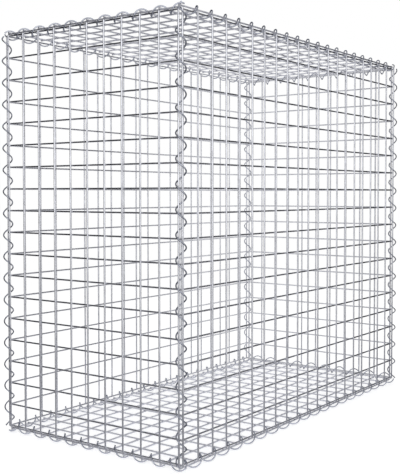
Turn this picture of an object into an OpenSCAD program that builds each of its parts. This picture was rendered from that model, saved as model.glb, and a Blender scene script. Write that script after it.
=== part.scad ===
// One empty gabion basket: six panels of welded wire mesh, laced along all
// twelve edges with wire spirals.

/* [Basket] */
// Length between the end wires of the long panels
basket_length = 1000; // [300:50:1500]
// Depth between the end wires of the side panels
basket_depth = 495; // [200:5:1000]
// Height between the lowest and the highest wires of the walls
basket_height = 900; // [300:50:1500]
// Cell of the mesh, wire centre to wire centre, fitted to a whole number of cells
cell = 50; // [40:1:80]

/* [Mesh] */
// Thickness of the mesh wire
mesh_wire = 4; // [3:0.25:6]
// Depth that two crossing wires sink into each other at a weld
weld_sink = 0.8; // [0.2:0.1:1]
// Length of a cut wire end beyond the side of the edge wire
wire_stub = 0.4; // [0.4:0.1:2]
// Free space between two panels at an edge
panel_gap = 0.3; // [0.2:0.1:1]
// Distance that a side panel stands out past the end wires of the long panels
side_stand = 3.3; // [2.5:0.1:4.5]

/* [Spirals] */
// Thickness of the spiral wire
spiral_wire = 3; // [2:0.25:4]
// Room inside a spiral beyond the tightest fit round two edge wires
spiral_room = 1.1; // [0.8:0.1:3]
// Free space between a spiral and the edge wire that it hangs on
seat_gap = 0.5; // [0.1:0.05:0.6]
// Length along the edge that a spiral's free ends run on past the last wire
spiral_end = 1; // [0.5:0.25:2]
// Direction from a side panel's edge wire to the axis of a corner spiral, in degrees
corner_angle = 96; // [85:1:105]
// Direction from the long edge wire of the lid or base to the axis of its spiral, in degrees
long_angle = 47; // [40:1:60]
// Direction from the short edge wire of the lid or base to the axis of its spiral, in degrees
side_angle = 48; // [40:1:60]
// Turn of a corner spiral past its outermost point at a mesh wire, in degrees
corner_turn = 40; // [0:5:90]
// Turn of a long spiral past its outermost point at a mesh wire, in degrees
long_turn = 40; // [0:5:90]
// Turn of a side spiral past its outermost point at a mesh wire, in degrees
side_turn = 10; // [0:5:90]

/* [Hidden] */
mesh_grey = [0.70, 0.72, 0.74];
spiral_grey = [0.52, 0.54, 0.56];
bar_sides = 6;
bar_across = mesh_wire / cos(180 / bar_sides);
ring_steps = 24;
bend_steps = 48;
// A mesh panel: the outer wires and, one layer further in, the wires across them
layer = mesh_wire - weld_sink;
overhang = mesh_wire / 2 + wire_stub;
cells_long = round(basket_length / cell);
cells_deep = round(basket_depth / cell);
cells_high = round(basket_height / cell);
half_long = basket_length / 2;
half_deep = basket_depth / 2;
half_high = basket_height / 2;
// One panel stands this far beyond the edge wire of the panel that ends against it
step_out = overhang + panel_gap + mesh_wire / 2;
front_y = half_deep + step_out + layer;
side_x = half_long + side_stand;
cover_drop = step_out + layer;
// The spirals, seated on the edge wires
edge_spread = norm([step_out, cover_drop]);
seat = edge_spread / 2 + spiral_room;
spiral_r = seat + bar_across / 2 + seat_gap + spiral_wire / 2;
long_drop = cover_drop - seat * sin(long_angle);
long_axis = half_deep + seat * cos(long_angle);
side_drop = step_out - seat * sin(side_angle);
side_axis = half_long + seat * cos(side_angle);
corner_x = side_x + seat * cos(corner_angle);
corner_y = half_deep + seat * sin(corner_angle);
// One quarter turn of a spiral is a plane bend that meets the next one in line
bends = 4;
quarter = 360 / bends;
half_span = spiral_r * sin(quarter / 2);
function half_rise(pitch) = pitch / bends / 2;
function bend_tilt(pitch) = atan2(half_rise(pitch), half_span);
function end_slope(pitch) = atan2(half_rise(pitch), spiral_r);
function half_sweep(pitch) = acos(cos(end_slope(pitch)) * cos(bend_tilt(pitch)) * cos(quarter / 2)
                                  + sin(end_slope(pitch)) * sin(bend_tilt(pitch)));
function bend_r(pitch) = norm([half_span, half_rise(pitch)]) / sin(half_sweep(pitch));
function bend_centre(pitch) = spiral_r * cos(quarter / 2) - bend_r(pitch) * cos(half_sweep(pitch));
// Every second quarter is a little thinner and runs into its neighbours
lap = 0.4;
lap_step = 0.06;
// Height over the ground, on which the long spirals of the base lie
long_pitch = basket_length / cells_long;
low_angle = quarter / 2 - long_turn;
low_reach = bend_centre(long_pitch) * cos(low_angle)
            + bend_r(long_pitch) * norm([cos(low_angle), cos(bend_tilt(long_pitch)) * sin(low_angle)]);
low_row = low_reach + spiral_wire / 2 + long_drop;
mid_z = low_row + half_high;

module bar(length) {
  cylinder(h = length, d = bar_across, center = true, $fn = bar_sides);
}

// A panel in the X-Z plane: upright wires outside, level wires inside towards +Y
module mesh_panel(width, cols, height, rows) {
  for (i = [0 : cols])
    translate([width * (i / cols - 1 / 2), 0, 0])
      bar(height + 2 * overhang);
  for (j = [0 : rows])
    translate([0, layer, height * (j / rows - 1 / 2)])
      rotate([0, 90, 0])
        bar(width + 2 * overhang);
}

module bend(pitch, thick, from, to) {
  rotate([-bend_tilt(pitch), 0, 0])
    translate([bend_centre(pitch), 0, 0])
      rotate([0, 0, from])
        rotate_extrude(angle = to - from, $fn = bend_steps)
          translate([bend_r(pitch), 0])
            circle(d = thick, $fn = ring_steps);
}

// A left-handed spiral up +Z, which faces one way at every wire that it passes
module spiral(span, turns, facing) {
  pitch = span / turns;
  last = bends * turns;
  sweep = half_sweep(pitch);
  free_sweep = sweep * spiral_end / half_rise(pitch);
  lap_sweep = lap / bend_r(pitch) * 180 / PI;
  for (i = [0 : last])
    translate([0, 0, span * (i / last - 1 / 2)])
      rotate([0, 0, facing - quarter * i])
        bend(pitch, spiral_wire - lap_step * (i % 2),
             i == last ? -free_sweep : -sweep - lap_sweep * (i % 2),
             i == 0 ? free_sweep : sweep + lap_sweep * (i % 2));
}

module corner_spiral(sx, sy) {
  color(spiral_grey)
    translate([sx * corner_x, sy * corner_y, mid_z])
      spiral(basket_height, cells_high, atan2(sy, sx) - corner_turn);
}

module long_spiral(sy, sz) {
  color(spiral_grey)
    translate([0, sy * long_axis, mid_z + sz * (half_high + long_drop)])
      rotate([0, 90, 0])
        spiral(basket_length, cells_long, atan2(sy, -sz) - long_turn);
}

module cross_spiral(sx, sz) {
  color(spiral_grey)
    translate([sx * side_axis, 0, mid_z + sz * (half_high + side_drop)])
      rotate([-90, 0, 0])
        spiral(basket_depth, cells_deep, atan2(-sz, sx) - side_turn);
}

module long_panel(turn) {
  color(mesh_grey)
    translate([0, 0, mid_z])
      rotate([0, 0, turn])
        translate([0, -front_y, 0])
          mesh_panel(basket_length, cells_long, basket_height, cells_high);
}

module side_panel(turn) {
  color(mesh_grey)
    translate([0, 0, mid_z])
      rotate([0, 0, turn])
        translate([0, -side_x, 0])
          mesh_panel(basket_depth, cells_deep, basket_height, cells_high);
}

module cover(turn) {
  color(mesh_grey)
    translate([0, 0, mid_z])
      rotate([turn, 0, 0])
        translate([0, 0, -half_high - cover_drop])
          rotate([90, 0, 90])
            mesh_panel(basket_depth, cells_deep, basket_length, cells_long);
}

module front_panel() { long_panel(0); }
module back_panel() { long_panel(180); }
module left_panel() { side_panel(-90); }
module right_panel() { side_panel(90); }
module lid() { cover(180); }
module base() { cover(0); }
module spiral_front_left() { corner_spiral(-1, -1); }
module spiral_front_right() { corner_spiral(1, -1); }
module spiral_back_left() { corner_spiral(-1, 1); }
module spiral_back_right() { corner_spiral(1, 1); }
module spiral_lid_front() { long_spiral(-1, 1); }
module spiral_lid_back() { long_spiral(1, 1); }
module spiral_lid_left() { cross_spiral(-1, 1); }
module spiral_lid_right() { cross_spiral(1, 1); }
module spiral_base_front() { long_spiral(-1, -1); }
module spiral_base_back() { long_spiral(1, -1); }
module spiral_base_left() { cross_spiral(-1, -1); }
module spiral_base_right() { cross_spiral(1, -1); }

front_panel();
back_panel();
left_panel();
right_panel();
lid();
base();
spiral_front_left();
spiral_front_right();
spiral_back_left();
spiral_back_right();
spiral_lid_front();
spiral_lid_back();
spiral_lid_left();
spiral_lid_right();
spiral_base_front();
spiral_base_back();
spiral_base_left();
spiral_base_right();
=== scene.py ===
from math import cos, radians, sin, tau

import bmesh
import bpy
from bpy.props import FloatProperty, FloatVectorProperty, IntProperty, PointerProperty
from mathutils import Matrix, Vector


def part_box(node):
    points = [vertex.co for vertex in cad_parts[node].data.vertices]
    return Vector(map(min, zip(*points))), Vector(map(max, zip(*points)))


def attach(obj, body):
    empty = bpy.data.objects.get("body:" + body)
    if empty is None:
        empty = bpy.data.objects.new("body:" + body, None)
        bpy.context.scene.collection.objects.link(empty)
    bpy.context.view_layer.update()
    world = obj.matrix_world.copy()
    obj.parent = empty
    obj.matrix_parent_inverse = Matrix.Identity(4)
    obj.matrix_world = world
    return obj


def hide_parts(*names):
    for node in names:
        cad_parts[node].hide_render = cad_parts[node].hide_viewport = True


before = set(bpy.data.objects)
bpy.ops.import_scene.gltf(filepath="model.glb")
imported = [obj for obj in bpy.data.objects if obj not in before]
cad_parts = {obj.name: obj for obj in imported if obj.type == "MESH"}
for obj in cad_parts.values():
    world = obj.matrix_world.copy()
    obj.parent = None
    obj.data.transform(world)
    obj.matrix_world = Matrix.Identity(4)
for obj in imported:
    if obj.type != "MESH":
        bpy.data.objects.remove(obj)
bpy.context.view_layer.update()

bl_info = {
    "name": "Gabion Basket",
    "version": (1, 0, 0),
    "blender": (4, 5, 0),
    "location": "3D View > Sidebar > Gabion",
    "description": "Dresses an empty gabion basket: welded mesh panels, lacing spirals and a studio",
    "category": "Object",
}

X, Y, Z = (Vector(axis) for axis in ((1, 0, 0), (0, 1, 0), (0, 0, 1)))

# Each panel's way out of the basket, the run of its outer wires, the run of its inner wires and its zinc,
# which for the lid and base is painted lighter as painted light
PANELS = {
    "front_panel": (-Y, Z, X, "wall"),
    "back_panel": (Y, Z, X, "wall"),
    "left_panel": (-X, Z, Y, "wall"),
    "right_panel": (X, Z, Y, "wall"),
    "lid": (Z, X, Y, "cover"),
    "base": (-Z, X, Y, "cover"),
}

# Hand of a spiral
LEFT, RIGHT = 1, -1

# Each spiral's edge, the way out over that edge, its hand, the properties of its turn and its first end,
# and its zinc, where grey is the spiral zinc painted darker as painted shade
SPIRALS = {
    "spiral_front_left": (Z, -X - Y, LEFT, "corner_turn", "run_on", "grey"),
    "spiral_front_right": (Z, X - Y, LEFT, "corner_turn", "run_on", "grey"),
    "spiral_back_left": (Z, -X + Y, LEFT, "corner_turn", "run_on", "grey"),
    "spiral_back_right": (Z, X + Y, LEFT, "corner_turn", "run_on", "bright"),
    "spiral_lid_front": (X, Z - Y, LEFT, "long_turn", "run_on", "grey"),
    "spiral_lid_back": (X, Z + Y, LEFT, "long_turn", "run_on", "bright"),
    "spiral_lid_left": (Y, Z - X, LEFT, "side_turn", "near_run", "bright"),
    "spiral_lid_right": (Y, Z + X, LEFT, "side_turn", "run_on", "bright"),
    "spiral_base_front": (X, -Z - Y, LEFT, "long_turn", "run_on", "bright"),
    "spiral_base_back": (X, -Z + Y, LEFT, "long_turn", "run_on", "bright"),
    "spiral_base_left": (Y, -Z - X, RIGHT, "foot_turn", "near_run", "bright"),
    "spiral_base_right": (Y, -Z + X, LEFT, "side_turn", "run_on", "bright"),
}

# The longer side of the picture, in pixels, in which the camera's shift is given
PICTURE_HEIGHT = 474

# Faces that meet at a wider angle than this keep a sharp edge
SHARP_ANGLE = radians(40)

# Share of the floor's radius from which it fades, and the number of its sides
FADE_FROM = 0.3
FLOOR_SIDES = 64


def linear(hex_colour):
    """Linear red, green, blue and alpha of an sRGB hex colour."""
    parts = [int(hex_colour[i : i + 2], 16) / 255 for i in (1, 3, 5)]
    return [p / 12.92 if p <= 0.04045 else ((p + 0.055) / 1.055) ** 2.4 for p in parts] + [1]


def length_of(name, default, description):
    """A property that holds a length in metres."""
    return FloatProperty(name=name, default=default, description=description, unit="LENGTH",
                         precision=5, min=0)


def angle_of(name, default, description):
    """A property that holds an angle, given in degrees."""
    return FloatProperty(name=name, default=radians(default), description=description, subtype="ANGLE")


def place_of(name, default, description):
    """A property that holds a place in metres."""
    return FloatVectorProperty(name=name, default=default, description=description, subtype="TRANSLATION",
                               precision=4)


def colour_of(name, default, description):
    """A property that holds a colour."""
    return FloatVectorProperty(name=name, default=linear(default), description=description, subtype="COLOR",
                               size=4)


def strength_of(name, default, description):
    """A property that holds the strength of a light."""
    return FloatProperty(name=name, default=default, description=description, min=0)


def roughness_of(name, default, description):
    """A property that holds a roughness."""
    return FloatProperty(name=name, default=default, description=description, subtype="FACTOR", min=0, max=1)


class MeshSizes(bpy.types.PropertyGroup):
    """Sizes of the welded mesh."""

    cell: length_of("Cell", 0.050, "Wire centre to wire centre")
    wire: length_of("Wire", 0.004, "Thickness of the mesh wire")
    stub: length_of("Stub", 0.0004, "Cut end of a wire beyond the side of the edge wire")
    cut_round: length_of("Cut round", 0.0003, "Rounding that the zinc leaves on a sheared end")
    weld_width: length_of("Weld width", 0.0048, "Width of the squeezed weld between two wires")
    weld_depth: length_of("Weld depth", 0.0026, "Thickness of the squeezed weld between two wires")
    sides: IntProperty(name="Sides", default=12, min=6, description="Faces round a wire")
    weld_sides: IntProperty(name="Weld sides", default=8, min=6, description="Faces round a weld")


class SpiralSizes(bpy.types.PropertyGroup):
    """Sizes of the lacing spirals."""

    wire: length_of("Wire", 0.003, "Thickness of the spiral wire")
    run_on: length_of("Run on", 0.001, "Length of the free ends past the last mesh wire")
    near_run: length_of("Near run", 0.012, "Length of the near free ends of the two left spirals")
    corner_turn: angle_of("Corner turn", 40, "Turn of a corner spiral past its outermost point at a wire")
    long_turn: angle_of("Long turn", 40, "Turn of a long spiral past its outermost point at a wire")
    side_turn: angle_of("Side turn", 10, "Turn of a side spiral past its outermost point at a wire")
    foot_turn: angle_of("Foot turn", 20, "Turn of the base's left spiral past its outermost point at a wire")
    sides: IntProperty(name="Sides", default=12, min=6, description="Faces round the wire")
    turn_steps: IntProperty(name="Turn steps", default=36, min=12, description="Faces along one turn")


class ZincColours(bpy.types.PropertyGroup):
    """Tones of the galvanised wire."""

    wall_bright: colour_of("Wall bright", "#cccdd3", "Fresh zinc on the wire of the walls")
    wall_dull: colour_of("Wall dull", "#bbbcc2", "Zinc that has dulled on the wire of the walls")
    wall_shine: roughness_of("Wall roughness", 0.2, "Roughness of the bright wire of the walls")
    # The lid and base take the walls' zinc painted lighter: painted light on the lid and base
    lid_base_fresh_painted_light: colour_of("Cover bright", "#dbdce3", "Fresh zinc on the wire of the lid and base")
    lid_base_dulled_painted_light: colour_of("Cover dull", "#cdced5", "Zinc that has dulled on the wire of the lid and base")
    cover_shine: roughness_of("Cover roughness", 0.5, "Roughness of the duller wire of the lid and base")
    spiral_bright: colour_of("Spiral bright", "#b8bbc6", "Fresh zinc on the spiral wire")
    spiral_dull: colour_of("Spiral dull", "#9a9da8", "Zinc that has dulled on the spiral wire")
    # Dark edge tint: painted shade where the spiral wire turns away
    spiral_flank_painted_shade: colour_of("Spiral edge", "#404248", "Tint of the spiral wire where it turns away")
    # The grey spirals take the spiral zinc painted darker: painted shade
    darker_spiral_fresh_painted_shade: colour_of("Grey spiral bright", "#a8abb6", "Fresh zinc on the greyer spiral wire")
    darker_spiral_dulled_painted_shade: colour_of("Grey spiral dull", "#8a8d98", "Zinc that has dulled on the greyer spiral wire")
    # Edge tint of the grey spirals, darker still: painted shade on their flanks
    darker_spiral_flank_painted_shade: colour_of("Grey spiral edge", "#101114", "Tint of the greyer wire where it turns away")
    spiral_shine: roughness_of("Spiral roughness", 0.2, "Roughness of the bright wire of the spirals")
    weld_bright: colour_of("Weld bright", "#bbbcc2", "Smooth zinc over a weld")
    weld_dull: colour_of("Weld dull", "#74777d", "Rough zinc over a weld")
    weld_shine: roughness_of("Weld roughness", 0.5, "Roughness of the zinc over a weld")


class StudioSizes(bpy.types.PropertyGroup):
    """Floor, light and camera."""

    floor_radius: length_of("Floor radius", 3.5, "Radius at which the floor has faded out")
    floor_colour: colour_of("Floor", "#f4f4f4", "Paint of the floor")
    floor_glow: strength_of("Floor glow", 0.5, "Light that lifts the floor to white")
    world_seen: strength_of("World seen", 1.0, "Strength of the white that is seen")
    world_light: strength_of("World light", 0.6, "Strength of the white as a lamp")
    card_colour: colour_of("Card", "#1c1c20", "Black card that gives the wires their dark sides")
    cloth_colour: colour_of("Cloth", "#c8c8cc", "Grey cloth on the floor that darkens the feet of the wires")
    card_width: length_of("Card width", 1.0, "Width of a black card or grey cloth")
    card_height: length_of("Card height", 1.9, "Height of a black card")
    left_card: place_of("Left card", (-1.02, 0.40, 0.96), "Middle of the card at the left of the picture")
    right_card: place_of("Right card", (0.60, -0.68, 0.96), "Middle of the card at the right of the picture")
    cloth_length: length_of("Cloth length", 1.1, "Length of a grey cloth on the floor")
    left_cloth: place_of("Left cloth", (-1.02, -0.15, 0.002), "Middle of the cloth beside the left panel")
    right_cloth: place_of("Right cloth", (0.05, -0.765, 0.002), "Middle of the cloth beside the front panel")
    softbox_place: place_of("Softbox", (-2.44, -1.75, 1.15), "Middle of the lamp behind the camera")
    softbox_aim: place_of("Softbox aim", (0, 0, 0.6), "Point that the lamp looks at")
    softbox_width: length_of("Softbox width", 3.4, "Width of the lamp")
    softbox_height: length_of("Softbox height", 1.7, "Height of the lamp")
    softbox_power: FloatProperty(name="Softbox power", default=20, min=0, unit="POWER",
                                 description="Power of the lamp")
    camera_azimuth: angle_of("Camera azimuth", -54.23, "Side that the camera looks from, 0 at the front")
    camera_tilt: angle_of("Camera tilt", 1.884, "Tilt of the camera below the horizon")
    camera_place: place_of("Camera place", (-1.8148, -1.2743, 0.5542), "Where the camera stands")
    camera_lens: FloatProperty(name="Lens", default=64.32, unit="CAMERA", description="Focal length")
    camera_shift: FloatVectorProperty(name="Shift", default=(-12.41, -15.27), size=2,
                                      description="Shift in pixels")


def add_node(tree, kind, settings=None, links=None):
    """Adds a node, sets its properties and sockets, and links sockets to other nodes' outputs."""
    node = tree.nodes.new(kind)
    for name, value in (settings or {}).items():
        if isinstance(name, str) and hasattr(node, name):
            setattr(node, name, value)
        else:
            node.inputs[name].default_value = value
    for name, source in (links or {}).items():
        tree.links.new(source, node.inputs[name])
    return node


def galvanised_wire(name, bright, dull, shine, edge=(1, 1, 1, 1)):
    """Hot-dip galvanised drawn steel: a half-glossy bluish grey skin with soft cloudy patches where
    the zinc froze and dulled. On the spirals a dark edge tint paints shade where the wire turns away."""
    material = bpy.data.materials.new(name)
    material.use_nodes = True
    tree = material.node_tree
    tree.nodes.clear()
    # A dulled patch is about 18 mm wide and a little rougher
    patch, dulling = 0.018, 0.1
    all_dull, all_bright = 0.35, 0.65
    # The grain of a zinc skin is finer than a pixel, so it is drawn about a millimetre wide
    grain, grain_depth, grain_strength = 0.0012, 0.0002, 0.15
    place = add_node(tree, "ShaderNodeTexCoord").outputs["Object"]
    clouds = add_node(tree, "ShaderNodeTexNoise", {"Scale": 1 / patch, "Detail": 3.0}, {"Vector": place})
    grains = add_node(tree, "ShaderNodeTexNoise", {"Scale": 1 / grain, "Detail": 1.0}, {"Vector": place})
    share = add_node(tree, "ShaderNodeMapRange", {"From Min": all_dull, "From Max": all_bright},
                     {"Value": clouds.outputs["Fac"]})
    tone = add_node(tree, "ShaderNodeMix", {"data_type": "RGBA", 6: dull, 7: bright},
                    {0: share.outputs["Result"]})
    gloss = add_node(tree, "ShaderNodeMapRange", {"To Min": shine + dulling, "To Max": shine},
                     {"Value": share.outputs["Result"]})
    bump = add_node(tree, "ShaderNodeBump", {"Strength": grain_strength, "Distance": grain_depth},
                    {"Height": grains.outputs["Fac"]})
    # A dark edge tint paints shade where the wire turns away; the white default leaves the reflection
    # untinted
    shader = add_node(tree, "ShaderNodeBsdfPrincipled", {"Metallic": 1.0, "Specular Tint": edge},
                      {"Base Color": tone.outputs[2], "Roughness": gloss.outputs["Result"],
                       "Normal": bump.outputs["Normal"]})
    add_node(tree, "ShaderNodeOutputMaterial", links={"Surface": shader.outputs["BSDF"]})
    return material


def finish_piece(bm, node, slot, *materials):
    """Turns a bmesh into the piece that stands for one CAD node."""
    bmesh.ops.recalc_face_normals(bm, faces=bm.faces[:])
    mesh = bpy.data.meshes.new(node + "_wire")
    bm.to_mesh(mesh)
    bm.free()
    mesh.shade_smooth()
    mesh.set_sharp_from_angle(angle=SHARP_ANGLE)
    for material in materials:
        mesh.materials.append(material)
    piece = bpy.data.objects.new(node + "_wire", mesh)
    bpy.context.scene.collection.objects.link(piece)
    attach(piece, "root")
    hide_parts(node)


def turned(way):
    """The matrix that turns +Z to a way."""
    return Z.rotation_difference(way).to_matrix().to_4x4()


def repeat(bm, faces, step, count):
    """Copies faces in a row, each copy a step further on, and gives back the whole row."""
    row = list(faces)
    for i in range(1, count):
        copy = bmesh.ops.duplicate(bm, geom=faces)["geom"]
        verts = [part for part in copy if isinstance(part, bmesh.types.BMVert)]
        bmesh.ops.translate(bm, verts=verts, vec=step * i)
        row += [part for part in copy if isinstance(part, bmesh.types.BMFace)]
    return row


def cut_wire(bm, run, middle, length, sizes):
    """One straight round wire with sheared ends, as its faces."""
    before = set(bm.faces)
    half = sizes.wire / 2
    bmesh.ops.create_cone(bm, cap_ends=True, segments=sizes.sides, radius1=half, radius2=half, depth=length,
                          matrix=Matrix.Translation(middle) @ turned(run))
    ends = [face for face in bm.faces if face not in before and len(face.verts) == sizes.sides]
    rims = {edge for end in ends for edge in end.edges}
    bmesh.ops.bevel(bm, geom=list(rims), offset=sizes.cut_round, offset_type="OFFSET", affect="EDGES",
                    segments=1, profile=0.5, material=-1)
    return [face for face in bm.faces if face not in before]


def weld_bead(bm, out, place, sizes):
    """The metal squeezed out between two welded wires, as its faces."""
    before = set(bm.faces)
    squeeze = Matrix.Diagonal((sizes.weld_width / 2, sizes.weld_width / 2, sizes.weld_depth / 2, 1))
    bmesh.ops.create_uvsphere(bm, u_segments=sizes.weld_sides, v_segments=sizes.weld_sides // 2, radius=1,
                              matrix=Matrix.Translation(place) @ turned(out) @ squeeze)
    bead = [face for face in bm.faces if face not in before]
    for face in bead:
        face.material_index = 1
    return bead


def mesh_panel(node, out, outer_run, inner_run, sizes):
    """A welded panel: a row of outer wires, a row of inner wires across them and a weld at every crossing."""
    low, high = (Vector(corner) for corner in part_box(node))
    middle, extent = (low + high) / 2, high - low
    overhang = sizes.wire / 2 + sizes.stub
    layer = (abs(extent.dot(out)) - sizes.wire) / 2
    bm = bmesh.new()
    corner, rows = middle.copy(), []
    for run, across, side in ((outer_run, inner_run, out), (inner_run, outer_run, -out)):
        span = extent.dot(across) - 2 * overhang
        cells = round(span / sizes.cell)
        first = across * span / -2
        wire = cut_wire(bm, run, middle + side * layer + first, extent.dot(run), sizes)
        repeat(bm, wire, across * span / cells, cells + 1)
        corner += first
        rows.append((across * span / cells, cells + 1))
    welds = weld_bead(bm, out, corner, sizes)
    for step, count in rows:
        welds = repeat(bm, welds, step, count)
    return bm


def wound_wire(bm, ring, rise, turns, sizes):
    """A length of round wire wound left-handed about +Z from a ring, as its faces."""
    before = set(bm.faces)
    steps = round(turns * sizes.turn_steps)
    start = bmesh.ops.create_circle(bm, segments=sizes.sides, radius=sizes.wire / 2, matrix=ring)["verts"]
    edges = {edge for vert in start for edge in vert.link_edges}
    bmesh.ops.spin(bm, geom=[*start, *edges], cent=(0, 0, 0), axis=Z, dvec=Z * rise / steps,
                   angle=-tau * turns, steps=steps)
    return [face for face in bm.faces if face not in before]


def mesh_pitch(edge, mesh):
    """The number of cells along an edge and the length of one."""
    low, high = (Vector(corner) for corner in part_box("front_panel" if edge == Z else "lid"))
    span = (high - low).dot(edge) - mesh.wire - 2 * mesh.stub
    cells = round(span / mesh.cell)
    return cells, span / cells


def lacing_spiral(node, edge, facing, hand, first_end, mesh, sizes):
    """A spiral along an edge, which faces one way at every mesh wire that it passes."""
    low, high = (Vector(corner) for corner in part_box(node))
    middle, extent = (low + high) / 2, high - low
    radius = min(extent.dot(axis) for axis in (X, Y, Z) if axis != edge) / 2 - sizes.wire / 2
    turns, pitch = mesh_pitch(edge, mesh)
    start = tau * first_end / pitch
    slant = tau * radius / pitch
    tangent = Vector((slant * sin(start), -slant * cos(start), 1))
    foot = Vector((radius * cos(start), radius * sin(start), -turns * pitch / 2 - first_end))
    bm = bmesh.new()
    turn = wound_wire(bm, Matrix.Translation(foot) @ turned(tangent), pitch, 1, sizes)
    repeat(bm, turn, Z * pitch, turns)
    ends = first_end + sizes.run_on
    wound_wire(bm, Matrix.Translation(foot + Z * turns * pitch) @ turned(tangent), ends, ends / pitch, sizes)
    hairline = sizes.wire / 100
    bmesh.ops.remove_doubles(bm, verts=bm.verts[:], dist=hairline)
    bmesh.ops.holes_fill(bm, edges=[rim for rim in bm.edges if rim.is_boundary], sides=sizes.sides)
    axes = Matrix((facing, edge.cross(facing) * hand, edge)).transposed().to_4x4()
    bmesh.ops.transform(bm, matrix=Matrix.Translation(middle) @ axes, verts=bm.verts[:])
    return bm


class GABION_OT_mesh_panels(bpy.types.Operator):
    """Make the six welded mesh panels"""

    bl_idname = "gabion.mesh_panels"
    bl_label = "Mesh Panels"

    def execute(self, context):
        sizes, colours = context.scene.gabion_mesh, context.scene.gabion_zinc
        # The lid and base get the wall zinc painted lighter, as painted light
        zinc = {
            "wall": galvanised_wire("galvanised wall wire", colours.wall_bright, colours.wall_dull,
                                    colours.wall_shine),
            "cover": galvanised_wire("galvanised lid and base wire with painted light", colours.lid_base_fresh_painted_light, colours.lid_base_dulled_painted_light,
                                     colours.cover_shine),
        }
        crust = galvanised_wire("galvanised weld", colours.weld_bright, colours.weld_dull, colours.weld_shine)
        for node, (out, outer_run, inner_run, kind) in PANELS.items():
            bm = mesh_panel(node, out, outer_run, inner_run, sizes)
            finish_piece(bm, node, "mesh_zinc", zinc[kind], crust)
        return {"FINISHED"}


class GABION_OT_spirals(bpy.types.Operator):
    """Make the twelve lacing spirals"""

    bl_idname = "gabion.spirals"
    bl_label = "Lacing Spirals"

    def execute(self, context):
        scene = context.scene
        mesh, sizes, colours = scene.gabion_mesh, scene.gabion_spiral, scene.gabion_zinc
        # The grey copy is the spiral zinc painted darker, as painted shade
        zinc = {
            "bright": galvanised_wire("galvanised spiral wire", colours.spiral_bright, colours.spiral_dull,
                                      colours.spiral_shine, colours.spiral_flank_painted_shade),
            "grey": galvanised_wire("galvanised wire of the near spirals with painted shade", colours.darker_spiral_fresh_painted_shade, colours.darker_spiral_dulled_painted_shade,
                                    colours.spiral_shine, colours.darker_spiral_flank_painted_shade),
        }
        for node, (edge, out, hand, turn, first_end, kind) in SPIRALS.items():
            facing = Matrix.Rotation(-getattr(sizes, turn), 3, edge) @ out.normalized()
            bm = lacing_spiral(node, edge, facing, hand, getattr(sizes, first_end), mesh, sizes)
            finish_piece(bm, node, "spiral_zinc", zinc[kind])
        return {"FINISHED"}


def seen_directly(tree):
    """1 for rays that show a surface or the background as it is: camera, glossy and transmission rays."""
    rays = add_node(tree, "ShaderNodeLightPath").outputs
    gloss = add_node(tree, "ShaderNodeMath", {"operation": "ADD"},
                     {0: rays["Is Camera Ray"], 1: rays["Is Glossy Ray"]})
    seen = add_node(tree, "ShaderNodeMath", {"operation": "ADD", "use_clamp": True},
                    {0: gloss.outputs[0], 1: rays["Is Transmission Ray"]})
    return seen.outputs[0]


def white_world(seen, light):
    """A white studio: plain white where it is seen, and softer where it lights the object."""
    world = bpy.data.worlds.new("white studio")
    world.use_nodes = True
    tree = world.node_tree
    tree.nodes.clear()
    white = add_node(tree, "ShaderNodeBackground", {"Color": linear("#ffffff"), "Strength": seen})
    soft = add_node(tree, "ShaderNodeBackground", {"Color": linear("#ffffff"), "Strength": light})
    mixed = add_node(tree, "ShaderNodeMixShader",
                     links={0: seen_directly(tree), 1: soft.outputs[0], 2: white.outputs[0]})
    add_node(tree, "ShaderNodeOutputWorld", links={"Surface": mixed.outputs[0]})
    return world


def floor_paint(colour, radius, glow_strength):
    """Matt white floor paint that fades out into the white studio and keeps the shadow."""
    material = bpy.data.materials.new("matt white floor paint")
    material.use_nodes = True
    tree = material.node_tree
    tree.nodes.clear()
    place = add_node(tree, "ShaderNodeTexCoord").outputs["Object"]
    far = add_node(tree, "ShaderNodeVectorMath", {"operation": "LENGTH"}, {0: place})
    fade = add_node(tree, "ShaderNodeMapRange",
                    {"interpolation_type": "SMOOTHSTEP", "From Min": radius * FADE_FROM, "From Max": radius},
                    {"Value": far.outputs["Value"]})
    paint = add_node(tree, "ShaderNodeBsdfDiffuse", {"Color": colour})
    lift = add_node(tree, "ShaderNodeMath", {"operation": "MULTIPLY", 1: glow_strength},
                    {0: seen_directly(tree)})
    glow = add_node(tree, "ShaderNodeEmission", {"Color": linear("#ffffff")}, {"Strength": lift.outputs[0]})
    lit = add_node(tree, "ShaderNodeAddShader", links={0: paint.outputs[0], 1: glow.outputs[0]})
    clear = add_node(tree, "ShaderNodeBsdfTransparent")
    mixed = add_node(tree, "ShaderNodeMixShader",
                     links={0: fade.outputs["Result"], 1: lit.outputs[0], 2: clear.outputs[0]})
    add_node(tree, "ShaderNodeOutputMaterial", links={"Surface": mixed.outputs[0]})
    return material


def stage_piece(bm, name, material):
    """A piece of the studio, which isn't part of the basket."""
    mesh = bpy.data.meshes.new(name)
    bm.to_mesh(mesh)
    bm.free()
    mesh.materials.append(material)
    piece = bpy.data.objects.new(name, mesh)
    bpy.context.scene.collection.objects.link(piece)
    return piece


def matt_cloth(name, colour):
    """Flocked card or cloth without any gloss, which bright metal shows as dark lines."""
    material = bpy.data.materials.new(name)
    material.use_nodes = True
    tree = material.node_tree
    tree.nodes.clear()
    flock = add_node(tree, "ShaderNodeBsdfDiffuse", {"Color": colour})
    add_node(tree, "ShaderNodeOutputMaterial", links={"Surface": flock.outputs[0]})
    return material


def dark_card(name, place, facing, width, height, material):
    """A card or cloth beside a near panel, out of sight, that darkens the panel's level wires."""
    bm = bmesh.new()
    turn = facing.to_track_quat("Z", "Y").to_matrix().to_4x4()
    bmesh.ops.create_grid(bm, x_segments=1, y_segments=1, size=0.5,
                          matrix=Matrix.Translation(place) @ turn @ Matrix.Diagonal((width, height, 1, 1)))
    card = stage_piece(bm, name, material)
    card.visible_camera = False
    card.visible_diffuse = False
    card.visible_shadow = False


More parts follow.
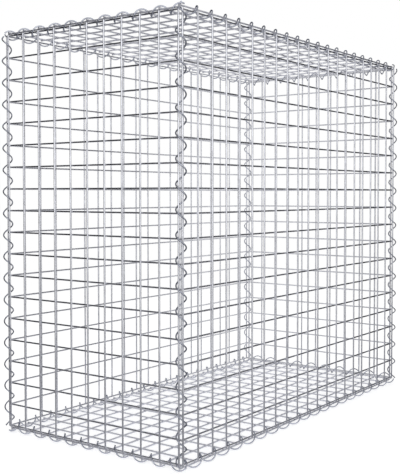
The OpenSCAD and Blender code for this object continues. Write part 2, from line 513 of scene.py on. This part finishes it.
class GABION_OT_studio(bpy.types.Operator):
    """Make the floor, the light and the camera"""

    bl_idname = "gabion.studio"
    bl_label = "Studio"

    def execute(self, context):
        scene, studio = context.scene, context.scene.gabion_studio
        bm = bmesh.new()
        bmesh.ops.create_circle(bm, cap_ends=True, segments=FLOOR_SIDES, radius=studio.floor_radius)
        paint = floor_paint(studio.floor_colour, studio.floor_radius, studio.floor_glow)
        stage_piece(bm, "studio_floor", paint)
        scene.world = white_world(studio.world_seen, studio.world_light)

        card = matt_cloth("black flocked card", studio.card_colour)
        cloth = matt_cloth("grey floor cloth", studio.cloth_colour)
        dark_card("left_card", studio.left_card, -Y, studio.card_width, studio.card_height, card)
        dark_card("right_card", studio.right_card, -X, studio.card_width, studio.card_height, card)
        dark_card("left_cloth", studio.left_cloth, Z, studio.card_width, studio.cloth_length, cloth)
        dark_card("right_cloth", studio.right_cloth, Z, studio.cloth_length, studio.card_width, cloth)
        lamp = bpy.data.lights.new("softbox", "AREA")
        lamp.shape, lamp.size, lamp.size_y = "RECTANGLE", studio.softbox_width, studio.softbox_height
        lamp.energy = studio.softbox_power
        softbox = bpy.data.objects.new("softbox", lamp)
        softbox.location = studio.softbox_place
        aim = studio.softbox_aim - studio.softbox_place
        softbox.rotation_euler = aim.to_track_quat("-Z", "Y").to_euler()
        scene.collection.objects.link(softbox)

        lens = bpy.data.cameras.new("camera")
        lens.lens = studio.camera_lens
        lens.shift_x, lens.shift_y = (pixels / PICTURE_HEIGHT for pixels in studio.camera_shift)
        camera = bpy.data.objects.new("camera", lens)
        camera.location = studio.camera_place
        camera.rotation_euler = (radians(90) - studio.camera_tilt, 0, studio.camera_azimuth)
        scene.collection.objects.link(camera)
        scene.camera = camera

        scene.view_settings.view_transform = "Standard"
        return {"FINISHED"}


OPERATORS = (GABION_OT_mesh_panels, GABION_OT_spirals, GABION_OT_studio)


class GABION_PT_tools(bpy.types.Panel):
    """Lists the tools that dress the basket"""

    bl_label = "Gabion Basket"
    bl_space_type = "VIEW_3D"
    bl_region_type = "UI"
    bl_category = "Gabion"

    def draw(self, context):
        for operator in OPERATORS:
            self.layout.operator(operator.bl_idname)


GROUPS = {
    "gabion_mesh": MeshSizes,
    "gabion_spiral": SpiralSizes,
    "gabion_zinc": ZincColours,
    "gabion_studio": StudioSizes,
}


def register():
    for group in GROUPS.values():
        bpy.utils.register_class(group)
    for name, group in GROUPS.items():
        setattr(bpy.types.Scene, name, PointerProperty(type=group))
    for tool in (*OPERATORS, GABION_PT_tools):
        bpy.utils.register_class(tool)


def unregister():
    for tool in (GABION_PT_tools, *reversed(OPERATORS)):
        bpy.utils.unregister_class(tool)
    for name, group in reversed(GROUPS.items()):
        delattr(bpy.types.Scene, name)
        bpy.utils.unregister_class(group)


def main():
    register()
    bpy.ops.gabion.mesh_panels()
    bpy.ops.gabion.spirals()
    bpy.ops.gabion.studio()


if __name__ == "__main__":
    main()
